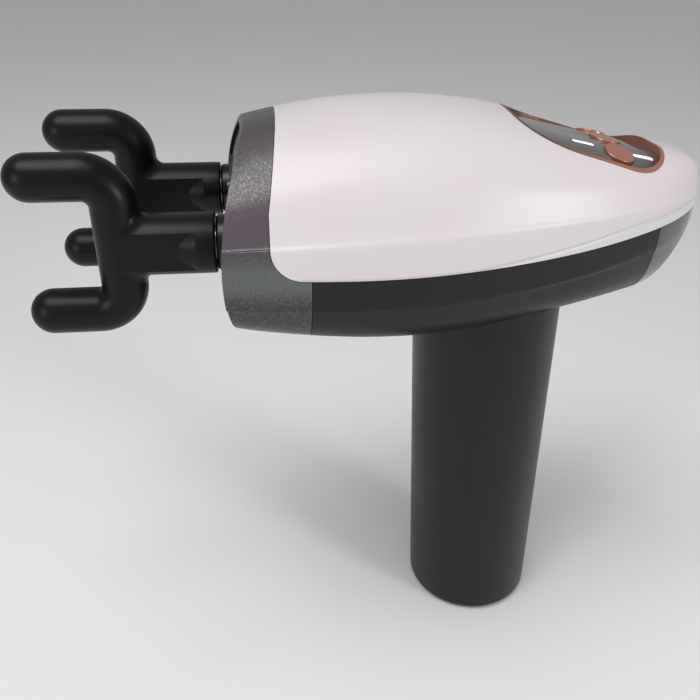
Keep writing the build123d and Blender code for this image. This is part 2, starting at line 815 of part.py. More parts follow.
for side_name, side_y in sides.items():
    with BuildPart() as plunger:
        with BuildSketch(Plane.YZ.offset(plunger_front_x)):
            with Locations((side_y, stroke_z)):
                Circle(plunger_radius)
        extrude(amount=yoke_front_x - plunger_front_x)
        with BuildSketch(Plane.YZ.offset(yoke_front_x)):
            with Locations((side_y, stroke_z)):
                Circle(neck_radius)
        extrude(amount=yoke_depth + nut_height + 1.0)
        chamfer(plunger.faces().sort_by(Axis.X)[0].edges(), 0.6)
        with BuildSketch(Plane.YZ.offset(plunger_front_x)):
            with Locations((side_y, stroke_z)):
                Circle(plug_radius + running_gap)
        extrude(amount=socket_length, mode=Mode.SUBTRACT)
        with BuildSketch(Plane.YZ.offset(plunger_front_x)):
            with Locations((side_y, stroke_z + key_reach / 2)):
                Rectangle(key_width + 2 * key_gap, key_reach + 2 * key_gap)
        extrude(amount=key_length + free_gap, mode=Mode.SUBTRACT)
    finish(plunger, f"plunger_{side_name}")

with BuildPart() as yoke:
    with BuildSketch(Plane.YZ.offset(yoke_front_x)):
        with Locations((0, stroke_z)):
            RectangleRounded(2 * yoke_half, yoke_height, 5)
    extrude(amount=yoke_depth)
    with BuildSketch(Plane.YZ.offset(yoke_front_x)):
        with Locations(*[(side_y, stroke_z) for side_y in sides.values()]):
            Circle(neck_radius)
    extrude(amount=yoke_depth, mode=Mode.SUBTRACT)
    with BuildSketch(Plane.XZ):
        with Locations((wrist_x + yoke_depth / 2 - 2.5, stroke_z)):
            Rectangle(yoke_depth + 12, rod_thickness + 2 * free_gap)
    extrude(amount=rod_small_radius + 1.5, both=True, mode=Mode.SUBTRACT)
    with BuildSketch(Plane.XY.offset(stroke_z)):
        with Locations((wrist_x, 0)):
            Circle(wrist_pin_radius)
    extrude(amount=yoke_height, both=True, mode=Mode.SUBTRACT)
finish(yoke, "yoke")

with BuildPart() as plunger_nuts:
    with BuildSketch(Plane.YZ.offset(yoke_rear_x)):
        with Locations(*[(side_y, stroke_z) for side_y in sides.values()]):
            RegularPolygon(8.0, 6)
            Circle(neck_radius, mode=Mode.SUBTRACT)
    extrude(amount=nut_height)
finish(plunger_nuts, "plunger_nuts")

with BuildPart() as wrist_pin:
    with BuildSketch(Plane.XY.offset(stroke_z)):
        with Locations((wrist_x, 0)):
            Circle(wrist_pin_radius)
    extrude(amount=yoke_height / 2 - 0.5, both=True)
    chamfer(wrist_pin.edges(), 0.4)
finish(wrist_pin, "wrist_pin")

with BuildPart() as con_rod:
    with BuildSketch(Plane.XY.offset(stroke_z)):
        with Locations((wrist_x, 0)):
            Circle(rod_small_radius)
        with Locations((crank_pin_x, 0)):
            Circle(rod_big_radius)
        with Locations(((wrist_x + crank_pin_x) / 2, 0)):
            Rectangle(crank_pin_x - wrist_x, rod_shank)
    extrude(amount=rod_thickness / 2, both=True)
    with BuildSketch(Plane.XY.offset(stroke_z)):
        with Locations((wrist_x, 0)):
            Circle(small_bush_radius)
        with Locations((crank_pin_x, 0)):
            Circle(crank_bearing_radius)
    extrude(amount=rod_thickness / 2, both=True, mode=Mode.SUBTRACT)
    for face_side in (-1, 1):
        with BuildSketch(Plane.XY.offset(stroke_z + face_side * rod_thickness / 2)):
            with Locations(((wrist_x + crank_pin_x) / 2 - 1.5, 0)):
                SlotOverall(crank_pin_x - wrist_x - 24, rod_shank - 3.4)
        extrude(amount=-face_side * 2.0, mode=Mode.SUBTRACT)
finish(con_rod, "con_rod")

with BuildPart() as small_end_bush:
    with BuildSketch(Plane.XY.offset(stroke_z)):
        with Locations((wrist_x, 0)):
            Circle(small_bush_radius)
            Circle(wrist_pin_radius, mode=Mode.SUBTRACT)
    extrude(amount=rod_thickness / 2, both=True)
finish(small_end_bush, "small_end_bush")

disc_top_z = stroke_z - rod_thickness / 2 - 0.8
with BuildPart() as crank_bearing:
    with BuildSketch(Plane.XY.offset(stroke_z)):
        with Locations((crank_pin_x, 0)):
            Circle(crank_bearing_radius)
            Circle(crank_pin_radius, mode=Mode.SUBTRACT)
    extrude(amount=rod_thickness / 2 - 0.5, both=True)
    for face_side in (-1, 1):
        with BuildSketch(Plane.XY.offset(stroke_z + face_side * (rod_thickness / 2 - 0.5))):
            with Locations((crank_pin_x, 0)):
                Circle(crank_bearing_radius - 0.9)
                Circle(crank_pin_radius + 0.9, mode=Mode.SUBTRACT)
        extrude(amount=-face_side * 0.4, mode=Mode.SUBTRACT)
finish(crank_bearing, "crank_bearing")

with BuildPart() as crank_pin:
    with BuildSketch(Plane.XY.offset(disc_top_z + free_gap)):
        with Locations((crank_pin_x, 0)):
            Circle(crank_pin_radius)
    extrude(amount=stroke_z + rod_thickness / 2 + 0.6 - disc_top_z - free_gap)
    with BuildSketch(Plane.XY.offset(stroke_z + rod_thickness / 2 - 0.5)):
        with Locations((crank_pin_x, 0)):
            Circle(crank_pin_radius + 1.2)
    extrude(amount=1.2)
finish(crank_pin, "crank_pin")

# ---------------------------------------------------------------- crank and motor, axis upright
disc_low_z = disc_top_z - crank_disc_thickness
bell_top_z = disc_low_z - 0.8
seat_z = frame_z + frame_thickness
flange_thickness_motor = 2.0
bell_low_z = seat_z + flange_thickness_motor + 0.8
shaft_low_z = frame_z + 0.6
with BuildPart() as crank_disc:
    with BuildSketch(Plane.XY.offset(disc_low_z)):
        with Locations((crank_x, 0)):
            Circle(crank_disc_radius)
    extrude(amount=crank_disc_thickness)
    with BuildSketch(Plane.XY.offset(disc_low_z)):
        with Locations((crank_x + crank_disc_radius, 0)):
            Rectangle(crank_disc_radius * 0.9, crank_disc_radius * 3)
    extrude(amount=crank_disc_thickness * 0.45, mode=Mode.SUBTRACT)
    with BuildSketch(Plane.XY.offset(disc_top_z)):
        with Locations((crank_pin_x, 0)):
            Circle(crank_pin_radius)
    extrude(amount=-2.0, mode=Mode.SUBTRACT)
    with BuildSketch(Plane.XY.offset(disc_low_z)):
        with Locations((crank_x, 0)):
            Circle(shaft_radius)
    extrude(amount=crank_disc_thickness, mode=Mode.SUBTRACT)
finish(crank_disc, "crank_disc")

with BuildPart() as motor_shaft:
    with BuildSketch(Plane.XY.offset(shaft_low_z)):
        with Locations((crank_x, 0)):
            Circle(shaft_radius)
    extrude(amount=disc_top_z - 0.2 - shaft_low_z)
finish(motor_shaft, "motor_shaft")

with BuildPart() as rotor_bell:
    with BuildSketch(Plane.XY.offset(bell_low_z)):
        with Locations((crank_x, 0)):
            Circle(bell_radius)
    extrude(amount=bell_top_z - bell_low_z)
    fillet(rotor_bell.edges().group_by(Axis.Z)[-1], 1.2)
    with BuildSketch(Plane.XY.offset(bell_low_z)):
        with Locations((crank_x, 0)):
            Circle(bell_radius - bell_wall)
    extrude(amount=bell_top_z - bell_wall - bell_low_z, mode=Mode.SUBTRACT)
    with BuildSketch(Plane.XY.offset(bell_top_z)):
        with Locations((crank_x, 0)):
            Circle(shaft_radius)
            with PolarLocations(bell_radius * 0.6, 6):
                SlotOverall(7.0, 4.0, rotation=90)
    extrude(amount=-bell_wall, mode=Mode.SUBTRACT)
finish(rotor_bell, "rotor_bell")

magnet_outer = bell_radius - bell_wall
magnet_inner = magnet_outer - magnet_thickness
with BuildPart() as rotor_magnets:
    with BuildSketch(Plane.XY.offset(bell_low_z + 0.6)):
        with Locations((crank_x, 0)):
            Circle(magnet_outer)
            Circle(magnet_inner, mode=Mode.SUBTRACT)
            with PolarLocations(magnet_outer, magnet_count):
                Rectangle(magnet_thickness * 4, 1.6, mode=Mode.SUBTRACT)
    extrude(amount=bell_top_z - bell_wall - bell_low_z - 1.6)
finish(rotor_magnets, "rotor_magnets")

stator_low_z = bell_low_z + 1.4
stator_height = 7.5
tooth_reach = magnet_inner - air_gap
tooth_width = 3.2
with BuildPart() as motor_stator:
    with BuildSketch(Plane.XY.offset(stator_low_z)):
        with Locations((crank_x, 0)):
            Circle(stator_core_radius)
            with PolarLocations((stator_core_radius + tooth_reach) / 2 - 0.6, stator_teeth):
                Rectangle(tooth_reach - stator_core_radius, tooth_width)
        with BuildSketch(mode=Mode.PRIVATE) as shoes:
            with Locations((crank_x, 0)):
                Circle(tooth_reach)
                Circle(tooth_reach - 1.4, mode=Mode.SUBTRACT)
                with PolarLocations(tooth_reach, stator_teeth, 180 / stator_teeth):
                    Rectangle(6, 2.4, mode=Mode.SUBTRACT)
        add(shoes.sketch)
        with Locations((crank_x, 0)):
            Circle(bearing_radius + 1.0, mode=Mode.SUBTRACT)
    extrude(amount=stator_height)
finish(motor_stator, "motor_stator")

coil_inner = stator_core_radius + 0.5
coil_outer = tooth_reach - 2.0
with BuildPart() as stator_coils:
    with BuildSketch(Plane.XY.offset(stator_low_z - 0.9)):
        with Locations((crank_x, 0)):
            with PolarLocations((coil_inner + coil_outer) / 2, stator_teeth):
                Rectangle(coil_outer - coil_inner, tooth_width + 1.5)
    extrude(amount=stator_height + 1.8)
    with BuildSketch(Plane.XY.offset(stator_low_z)):
        with Locations((crank_x, 0)):
            with PolarLocations((coil_inner + coil_outer) / 2, stator_teeth):
                Rectangle(coil_outer, tooth_width)
    extrude(amount=stator_height, mode=Mode.SUBTRACT)
finish(stator_coils, "stator_coils")

tube_radius = bearing_radius + 1.0
tube_top_z = stator_low_z + stator_height + 0.6
with BuildPart() as motor_base:
    with BuildSketch(Plane.XY.offset(seat_z)):
        with Locations((crank_x, 0)):
            Circle(motor_flange_radius)
            with PolarLocations(motor_screw_circle, 4, 45):
                Circle(1.25, mode=Mode.SUBTRACT)
    extrude(amount=flange_thickness_motor)
    with BuildSketch(Plane.XY.offset(frame_z + 0.3)):
        with Locations((crank_x, 0)):
            Circle(tube_radius)
    extrude(amount=tube_top_z - frame_z - 0.3)
    with BuildSketch(Plane.XY.offset(frame_z + 0.3)):
        with Locations((crank_x, 0)):
            Circle(bearing_radius)
    extrude(amount=tube_top_z - frame_z - 0.3, mode=Mode.SUBTRACT)
finish(motor_base, "motor_base")

with BuildPart() as motor_bearings:
    for bearing_z in (frame_z + 0.6, tube_top_z - bearing_width - 0.2):
        with BuildSketch(Plane.XY.offset(bearing_z)):
            with Locations((crank_x, 0)):
                Circle(bearing_radius)
                Circle(shaft_radius + running_gap, mode=Mode.SUBTRACT)
        extrude(amount=bearing_width)
finish(motor_bearings, "motor_bearings")

motor_screw_plane = Plane(origin=(crank_x, 0, frame_z), x_dir=(1, 0, 0), z_dir=(0, 0, -1))
motor_screw_spot = motor_screw_circle / 2 ** 0.5
motor_screw_places = [(a * motor_screw_spot, b * motor_screw_spot) for a in (-1, 1) for b in (-1, 1)]
motor_screws = screw_set(
    motor_screw_places, motor_screw_plane, 2.2, 0.7, 1.25, frame_thickness + flange_thickness_motor)
finish(motor_screws, "motor_screws")

# ---------------------------------------------------------------- heads
for side_name, side_y in sides.items():
    with BuildPart() as head:
        with BuildSketch(Plane.YZ.offset(prong_tip_x)):
            with Locations((side_y, stroke_z + prong_offset)):
                Circle(prong_radius)
        with BuildLine(Plane.XZ.offset(-side_y)):
            FilletPolyline(
                (prong_tip_x, stroke_z + prong_offset),
                (bar_x, stroke_z + prong_offset),
                (bar_x, stroke_z - prong_offset),
                (prong_tip_x, stroke_z - prong_offset),
                radius=bend_radius,
            )
        sweep()
        with Locations(*[(prong_tip_x, side_y, stroke_z + rise) for rise in (-prong_offset, prong_offset)]):
            Sphere(prong_radius)
        with BuildSketch(Plane.YZ.offset(bar_x)):
            with Locations((side_y, stroke_z)):
                Circle(stem_radius)
                Rectangle(2 * prong_radius, 2 * stem_radius, mode=Mode.INTERSECT)
        extrude(amount=stem_round_x - bar_x)
        with BuildSketch(Plane.XY.offset(stroke_z)):
            with BuildLine():
                Polyline(
                    (stem_flat_start_x, side_y),
                    (stem_flat_start_x, side_y - prong_radius),
                    (stem_round_x, side_y - stem_radius),
                    (stem_end_x - stem_chamfer, side_y - stem_radius),
                    (stem_end_x, side_y - stem_radius + stem_chamfer),
                    (stem_end_x, side_y),
                    close=True,
                )
            make_face()
        revolve(axis=Axis((0, side_y, stroke_z), (1, 0, 0)))
    finish(head, f"head_{side_name}")

    with BuildPart() as plug:
        with BuildSketch(Plane.YZ.offset(stem_end_x)):
            with Locations((side_y, stroke_z)):
                Circle(plug_radius)
        extrude(amount=plug_length)
        chamfer(plug.faces().sort_by(Axis.X)[-1].edges(), 0.6)
        with BuildSketch(Plane.YZ.offset(stem_end_x)):
            with Locations((side_y, stroke_z + key_reach / 2)):
                Rectangle(key_width, key_reach)
        extrude(amount=key_length)
        with BuildSketch(Plane.YZ.offset(stem_end_x + plug_length - 5.0)):
            with Locations((side_y, stroke_z)):
                Circle(plug_radius + 1)
                Circle(plug_radius - 2 * ring_section, mode=Mode.SUBTRACT)
        extrude(amount=2.2, mode=Mode.SUBTRACT)
    finish(plug, f"head_plug_{side_name}")

    with BuildPart() as ring:
        with BuildSketch(Plane.XY.offset(stroke_z)):
            with Locations((stem_end_x + plug_length - 3.9, side_y + plug_radius - ring_section)):
                Circle(ring_section - running_gap)
        revolve(axis=Axis((0, side_y, stroke_z), (1, 0, 0)))
    finish(ring, f"head_ring_{side_name}")
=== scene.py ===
"""Studio scene of the twin-head massage gun: finishes, detailed shells and heads around the CAD frame."""
import json

import bmesh
import bpy
import numpy as np
from mathutils import Matrix, Vector


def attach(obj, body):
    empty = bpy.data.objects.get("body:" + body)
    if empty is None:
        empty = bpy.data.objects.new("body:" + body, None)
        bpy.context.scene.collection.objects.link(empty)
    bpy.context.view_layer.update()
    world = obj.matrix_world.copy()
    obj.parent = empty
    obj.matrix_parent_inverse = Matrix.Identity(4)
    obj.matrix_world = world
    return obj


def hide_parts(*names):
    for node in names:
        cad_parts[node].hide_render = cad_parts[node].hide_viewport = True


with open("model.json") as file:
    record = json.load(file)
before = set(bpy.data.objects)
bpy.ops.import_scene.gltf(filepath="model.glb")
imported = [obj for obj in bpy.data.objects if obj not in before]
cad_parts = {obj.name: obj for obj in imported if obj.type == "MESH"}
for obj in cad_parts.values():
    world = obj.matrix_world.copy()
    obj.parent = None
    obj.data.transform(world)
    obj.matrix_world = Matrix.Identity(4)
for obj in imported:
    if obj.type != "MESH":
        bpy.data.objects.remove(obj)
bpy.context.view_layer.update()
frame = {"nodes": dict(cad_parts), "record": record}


# ---------------------------------------------------------------- shader tools
class Value:
    """A shader value: Python's operators on it add Math nodes."""

    def __init__(self, finish, socket):
        self.finish = finish
        self.socket = socket

    def math(self, operation, *others):
        return self.finish.node("ShaderNodeMath", {"operation": operation}, dict(enumerate(others)))

    def __add__(self, other):
        return self.math("ADD", self, other)

    def __radd__(self, other):
        return self.math("ADD", other, self)

    def __sub__(self, other):
        return self.math("SUBTRACT", self, other)

    def __rsub__(self, other):
        return self.math("SUBTRACT", other, self)

    def __mul__(self, other):
        return self.math("MULTIPLY", self, other)

    def __rmul__(self, other):
        return self.math("MULTIPLY", other, self)

    def ramp(self, start, end, low, high):
        """A straight ramp from low to high, held level past both ends."""
        return self.finish.node("ShaderNodeMapRange", {}, {0: self, 1: start, 2: end, 3: low, 4: high})

    def bell(self, width):
        """1 at zero, falling to 0 at that distance on either side."""
        return self.math("ABSOLUTE", self).ramp(0.0, width, 1.0, 0.0)

    def above(self, edge, width):
        """0 under the edge, 1 over it, with a soft step of that width."""
        settings = {"interpolation_type": "SMOOTHSTEP"}
        return self.finish.node("ShaderNodeMapRange", settings, {0: self, 1: edge - width, 2: edge + width})


class Finish:
    """One material: a principled shader with its fixed values, and the nodes that vary it."""

    def __init__(self, name, **fixed):
        self.material = bpy.data.materials.new(name)
        self.material.use_nodes = True
        self.tree = self.material.node_tree
        self.tree.nodes.clear()
        self.shader = self.tree.nodes.new("ShaderNodeBsdfPrincipled")
        output = self.tree.nodes.new("ShaderNodeOutputMaterial")
        self.tree.links.new(self.shader.outputs[0], output.inputs[0])
        self.where = self.node("ShaderNodeTexCoord", {}, {}, "Object")
        for socket, value in fixed.items():
            self.shader.inputs[socket.replace("_", " ")].default_value = value

    def node(self, kind, settings, inputs, output=0):
        made = self.tree.nodes.new(kind)
        for key, value in settings.items():
            setattr(made, key, value)
        for key, value in inputs.items():
            if isinstance(value, Value):
                self.tree.links.new(value.socket, made.inputs[key])
            else:
                made.inputs[key].default_value = value
        return Value(self, made.outputs[output])

    def noise(self, scale, detail=3.0, roughness=0.55):
        inputs = {"Vector": self.where, "Scale": scale, "Detail": detail, "Roughness": roughness}
        return self.node("ShaderNodeTexNoise", {}, inputs)

    def cells(self, scale, output="Distance"):
        return self.node("ShaderNodeTexVoronoi", {}, {"Vector": self.where, "Scale": scale}, output)

    def along(self, axis):
        return self.node("ShaderNodeSeparateXYZ", {}, {0: self.where}, "XYZ".index(axis))

    def mix(self, share, low, high):
        """A colour between two colours."""
        inputs = {0: share, 6: low, 7: high}
        return self.node("ShaderNodeMix", {"data_type": "RGBA"}, inputs, 2)

    def feed(self, **sockets):
        for socket, value in sockets.items():
            self.tree.links.new(value.socket, self.shader.inputs[socket.replace("_", " ")])

    def bump(self, height, depth, strength=1.0):
        """Relief of that depth in metres."""
        inputs = {"Height": height, "Distance": depth, "Strength": strength}
        self.feed(Normal=self.node("ShaderNodeBump", {}, inputs, "Normal"))


def rgb(red, green, blue):
    return (red, green, blue, 1.0)


def moulded(name, base, worn, rough, grain, depth, **fixed):
    """Moulded plastic: fine tool texture, slow tone drift, and a few rubbed patches that shine more."""
    finish = Finish(name, **fixed)
    drift = finish.noise(22.0, 4.0)
    rubbed = finish.noise(60.0, 6.0, 0.62).above(0.60, 0.10)
    texture = finish.noise(grain, 2.0, 0.6)
    finish.feed(Base_Color=finish.mix(drift * 0.7 + rubbed * 0.15, rgb(*base), rgb(*worn)))
    finish.feed(Roughness=rough + (drift - 0.5) * 0.14 - rubbed * 0.06 + (texture - 0.5) * 0.10)
    finish.bump(texture, depth)
    return finish.material


def machined(name, base, stained, rough, scratch_axis, **fixed):
    """Machined metal: fine turning lines across one axis, faint staining."""
    finish = Finish(name, Metallic=1.0, **fixed)
    lines = finish.node("ShaderNodeMapping", {}, {"Vector": finish.where, "Scale": scratch_axis})
    streak = finish.node("ShaderNodeTexNoise", {}, {"Vector": lines, "Scale": 900.0, "Detail": 3.0})
    stain = finish.noise(120.0, 4.0)
    finish.feed(Base_Color=finish.mix(stain * 0.8, rgb(*base), rgb(*stained)))
    finish.feed(Roughness=rough + (streak - 0.5) * 0.22 + (stain - 0.5) * 0.1)
    finish.bump(streak, 0.00001)
    return finish.material


def pearl_finish():
    """Pearl lacquer: pale with a faint pink drift, fine mica specks, slight orange peel under a clear coat.
    The cover's thinner edge strip, from 0 high ahead of X -20 mm to 4 mm at the tail, is painted greener as
    painted shading of the lip's slanted face.
    It is set off by a soft fold that is dented and darkened with painted shade."""
    finish = Finish("pearl_lacquer", Coat_Roughness=0.30, Coat_IOR=1.45, Specular_IOR_Level=0.4)
    drift = finish.noise(14.0, 2.0)
    mica = finish.cells(5200.0)
    peel = finish.noise(750.0, 1.0)
    rubbed = finish.noise(45.0, 6.0, 0.65).above(0.62, 0.08)
    rim_x, rim_z, rim_curve = -0.0516, 0.1595, 0.576
    along = finish.along("X")
    rim = rim_z + (along - rim_x) * (along - rim_x) * rim_curve
    band_height = along.ramp(-0.022, 0.030, 0.0, 0.0038)
    over = (finish.along("Z") - rim) - band_height
    # lip strip mask: its greener colour is painted shading of the slanted lip face
    lip_shade_band = 1.0 - over.above(0.0, 0.0003)
    # fold line above the lip: dented in the bump, and darkened in colour as painted shade
    crease_dent_and_shade = over.bell(0.0008)
    ground = finish.mix(drift.above(0.5, 0.25), rgb(0.700, 0.658, 0.669), rgb(0.680, 0.612, 0.636))
    ground = finish.mix(lip_shade_band * 0.85, ground, rgb(0.640, 0.650, 0.620))
    # painted shade: the fold line is darkened toward grey
    finish.feed(Base_Color=finish.mix(crease_dent_and_shade * 0.16, ground, rgb(0.42, 0.40, 0.40)))
    finish.feed(Roughness=0.44 + (mica - 0.5) * 0.10 + rubbed * 0.05 - lip_shade_band * 0.08)
    finish.feed(Coat_Weight=0.30 - rubbed * 0.12)
    finish.bump(peel * 0.02 - crease_dent_and_shade * 1.0, 0.0003)
    return finish.material


def gunmetal_finish():
    """Gunmetal lacquer with metal flakes that each catch the light a little differently. Its colour is
    painted by height: brownish grey at the top as painted light, a painted violet reflection and a pale
    green painted sheen at mid height, and near black below as painted shade."""
    finish = Finish("gunmetal_flake", Coat_Roughness=0.24, Specular_IOR_Level=0.5)
    flake = finish.cells(3600.0, "Color")
    tone = finish.node("ShaderNodeSeparateColor", {}, {0: flake}, "Red")
    tilt = finish.node("ShaderNodeSeparateColor", {}, {0: flake}, "Green")
    bright = tone.above(0.80, 0.16)
    drift = finish.noise(30.0, 3.0)
    level = finish.along("Z")
    # painted reflections: a violet strip and a pale green strip at mid height of the bezel
    lilac_reflection_band = level.above(0.167, 0.004) * (1.0 - level.above(0.182, 0.006))
    green_sheen_band = level.above(0.155, 0.004) * (1.0 - level.above(0.166, 0.004))
    # painted light and shade: brownish grey above Z 188 mm, near black below
    ground = finish.mix(level.above(0.188, 0.008), rgb(0.022, 0.022, 0.021), rgb(0.085, 0.076, 0.072))
    ground = finish.mix(lilac_reflection_band * 0.9, ground, rgb(0.120, 0.085, 0.110))
    ground = finish.mix(green_sheen_band * 0.9, ground, rgb(0.125, 0.140, 0.128))
    ground = finish.mix(drift * 0.3, ground, rgb(0.035, 0.036, 0.035))
    finish.feed(Base_Color=finish.mix(bright * 0.5, ground, rgb(0.21, 0.195, 0.205)))
    finish.feed(Metallic=0.35 + bright * 0.35)
    finish.feed(Roughness=0.46 - bright * 0.10 + (drift - 0.5) * 0.1)
    finish.feed(Coat_Weight=0.25 + drift * 0.1)
    finish.bump(tilt, 0.00002, 0.5)
    return finish.material


def gloss_finish(name, base, haze, rough=0.09):
    """Polished plastic: deep colour under a clear coat, with dust and wiped fingerprints in the gloss."""
    finish = Finish(name, Coat_Roughness=0.05, Specular_IOR_Level=0.6)
    smear = finish.noise(38.0, 5.0, 0.6).above(0.56, 0.12)
    dust = finish.cells(420.0).above(0.07, 0.02)
    drift = finish.noise(25.0, 2.0)
    finish.feed(Base_Color=finish.mix(drift * 0.6 + (1.0 - dust) * 0.12, rgb(*base), rgb(*haze)))
    finish.feed(Roughness=rough + smear * 0.10 + (1.0 - dust) * 0.2)
    finish.feed(Coat_Weight=0.8 - smear * 0.25)
    finish.bump(finish.noise(160.0, 1.0), 0.00001)
    return finish.material


def rose_gold_finish():
    """Rose-gold lacquer over a fine brushed ground, painted dull dark umber on the recess's front wall as
    painted shade.
    """
    finish = Finish("rose_gold", Coat_Roughness=0.2)
    lines = finish.node("ShaderNodeMapping", {}, {"Vector": finish.where, "Scale": (1.0, 14.0, 1.0)})
    streak = finish.node("ShaderNodeTexNoise", {}, {"Vector": lines, "Scale": 500.0, "Detail": 3.0})
    drift = finish.noise(90.0, 3.0)
    # painted shade: toward the front the lacquer gives way to dark umber
    unshaded_rear = finish.along("X").above(0.010, 0.014)
    lacquer = finish.mix(drift * 0.8, rgb(0.56, 0.245, 0.165), rgb(0.46, 0.190, 0.125))
    finish.feed(Base_Color=finish.mix(unshaded_rear, rgb(0.130, 0.085, 0.078), lacquer))
    finish.feed(Metallic=0.62 + (drift - 0.5) * 0.1)
    finish.feed(Roughness=0.34 + (streak - 0.5) * 0.2)
    finish.feed(Coat_Weight=0.3 + drift * 0.1)
    finish.bump(streak, 0.000008)
    return finish.material


def glow_highlight_finish():
    """Frosted light pipe with a soft white glow, brighter at its middle; the glow is a painted highlight
    standing in for lamp reflections on the panel.
    """
    finish = Finish("frosted_light_painted_glow", Specular_IOR_Level=0.5)
    drift = finish.noise(600.0, 2.0)
    finish.feed(Base_Color=finish.mix(drift, rgb(0.85, 0.86, 0.86), rgb(0.72, 0.74, 0.75)))
    finish.feed(Roughness=0.3 + drift * 0.2)
    # painted highlight: this emission stands in for reflections of the lamps
    finish.feed(Emission_Color=finish.mix(drift, rgb(0.9, 0.95, 1.0), rgb(0.6, 0.7, 0.8)))
    finish.shader.inputs["Emission Strength"].default_value = 0.9
    return finish.material


TURNED = (0.2, 1.0, 1.0)
SPUN = (1.0, 1.0, 0.2)
finishes = {
    "pearl_white": pearl_finish(),
    "gunmetal": gunmetal_finish(),
    "dark_shell": moulded(
        "satin_charcoal", (0.0080, 0.0080, 0.0079), (0.0140, 0.0138, 0.0133), 0.38, 2600.0, 0.00002,
        Specular_IOR_Level=0.28),
    "dark_gloss": gloss_finish("gloss_umber", (0.020, 0.015, 0.014), (0.045, 0.030, 0.028)),
    "rose_gold": rose_gold_finish(),
    "smoked_panel": gloss_finish("smoked_gloss", (0.085, 0.074, 0.076), (0.115, 0.100, 0.103), 0.24),
    "light_pipe": glow_highlight_finish(),
    "head_black": moulded(
        "soft_black", (0.0030, 0.0028, 0.0032), (0.0060, 0.0052, 0.0052), 0.36, 3200.0, 0.000010,
        Specular_IOR_Level=0.20),
    "black_rubber": moulded(
        "seal_rubber", (0.012, 0.012, 0.012), (0.022, 0.021, 0.020), 0.66, 1800.0, 0.00004),
    "steel": machined("turned_steel", (0.56, 0.56, 0.57), (0.45, 0.45, 0.46), 0.28, SPUN),
    "dark_steel": machined("black_oxide", (0.10, 0.10, 0.11), (0.06, 0.06, 0.065), 0.42, SPUN),
    "alloy": machined("cast_alloy", (0.66, 0.67, 0.68), (0.52, 0.53, 0.54), 0.40, TURNED),
    "black_alloy": machined("black_anodised", (0.030, 0.030, 0.034), (0.045, 0.046, 0.052), 0.30, TURNED),
    "bronze": machined("sintered_bronze", (0.52, 0.34, 0.15), (0.38, 0.24, 0.11), 0.45, TURNED),
    "copper": machined("enamelled_copper", (0.62, 0.26, 0.11), (0.45, 0.17, 0.07), 0.30, SPUN),
    "magnet": machined("nickel_plate", (0.50, 0.49, 0.47), (0.40, 0.39, 0.37), 0.22, SPUN),
    "board_green": moulded(
        "solder_mask", (0.012, 0.085, 0.035), (0.020, 0.120, 0.050), 0.30, 1500.0, 0.00002),
    "chip_black": moulded(
        "moulded_chip", (0.016, 0.016, 0.017), (0.028, 0.028, 0.029), 0.55, 2400.0, 0.00003),
    "cell_wrap": moulded("shrink_wrap", (0.020, 0.095, 0.26), (0.030, 0.130, 0.33), 0.26, 500.0, 0.00003),
    "frame_grey": moulded("filled_nylon", (0.11, 0.11, 0.115), (0.16, 0.16, 0.165), 0.52, 1400.0, 0.00005),
}


# ---------------------------------------------------------------- mesh tools
slot_of = {part["node"]: part["material_slot"] for part in frame["record"]["subparts"]}
bodies = frame["record"]["behaviour"]["bodies"]
body_of = {node: body for body, nodes in bodies.items() for node in nodes}
MERGE = 2e-6        # corners closer than this are one corner
SHARP = np.radians(33.0)


def place(name, mesh, node):
    """Shows the mesh instead of that CAD node: same body, same finish."""
    mesh.polygons.foreach_set("use_smooth", np.ones(len(mesh.polygons), bool))
    mesh.set_sharp_from_angle(angle=SHARP)
    mesh.materials.append(finishes[slot_of[node]])
    piece = bpy.data.objects.new(name, mesh)
    bpy.context.scene.collection.objects.link(piece)
    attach(piece, body_of[node])
    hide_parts(node)
    return piece


def solid(name, grids, node):
    """A closed mesh from grids of points (rows, columns, 3): each closes around its columns, and its first
    and last rows are poles."""
    points, quads, count = [], [], 0
    for grid in grids:
        rows, columns = grid.shape[:2]
        row, column = np.meshgrid(np.arange(rows - 1), np.arange(columns), indexing="ij")
        beside = (column + 1) % columns
        quad = np.stack([row * columns + column, row * columns + beside,
                         (row + 1) * columns + beside, (row + 1) * columns + column], axis=-1)
        points.append(grid.reshape(-1, 3))
        quads.append(quad.reshape(-1, 4) + count)
        count += rows * columns
    mesh = bpy.data.meshes.new(name)
    mesh.from_pydata(np.concatenate(points).tolist(), [], np.concatenate(quads).tolist())
    work = bmesh.new()
    work.from_mesh(mesh)
    bmesh.ops.remove_doubles(work, verts=work.verts, dist=1e-7)
    bmesh.ops.recalc_face_normals(work, faces=work.faces)
    work.to_mesh(mesh)
    work.free()
    return place(name, mesh, node)


def eased(node, width):
    """The CAD node's own shape with its sharp edges eased by that width in metres."""
    source = frame["nodes"][node].data
    spots = np.empty(len(source.vertices) * 3)
    source.vertices.foreach_get("co", spots)
    corners = np.empty(len(source.loops), int)
    source.loops.foreach_get("vertex_index", corners)
    spots = spots.reshape(-1, 3)
    places = np.round(spots / MERGE)
    _, first, merged = np.unique(places, axis=0, return_index=True, return_inverse=True)
    faces = merged.reshape(-1)[corners].reshape(-1, 3)
    whole = (faces[:, 0] != faces[:, 1]) & (faces[:, 1] != faces[:, 2]) & (faces[:, 0] != faces[:, 2])
    mesh = bpy.data.meshes.new(node + "_eased")
    mesh.from_pydata(spots[first].tolist(), [], faces[whole].tolist())
    piece = place(node + "_eased", mesh, node)
    ease = piece.modifiers.new("ease", "BEVEL")
    ease.width = width
    ease.segments = 2
    ease.limit_method = "ANGLE"
    ease.angle_limit = SHARP
    return piece


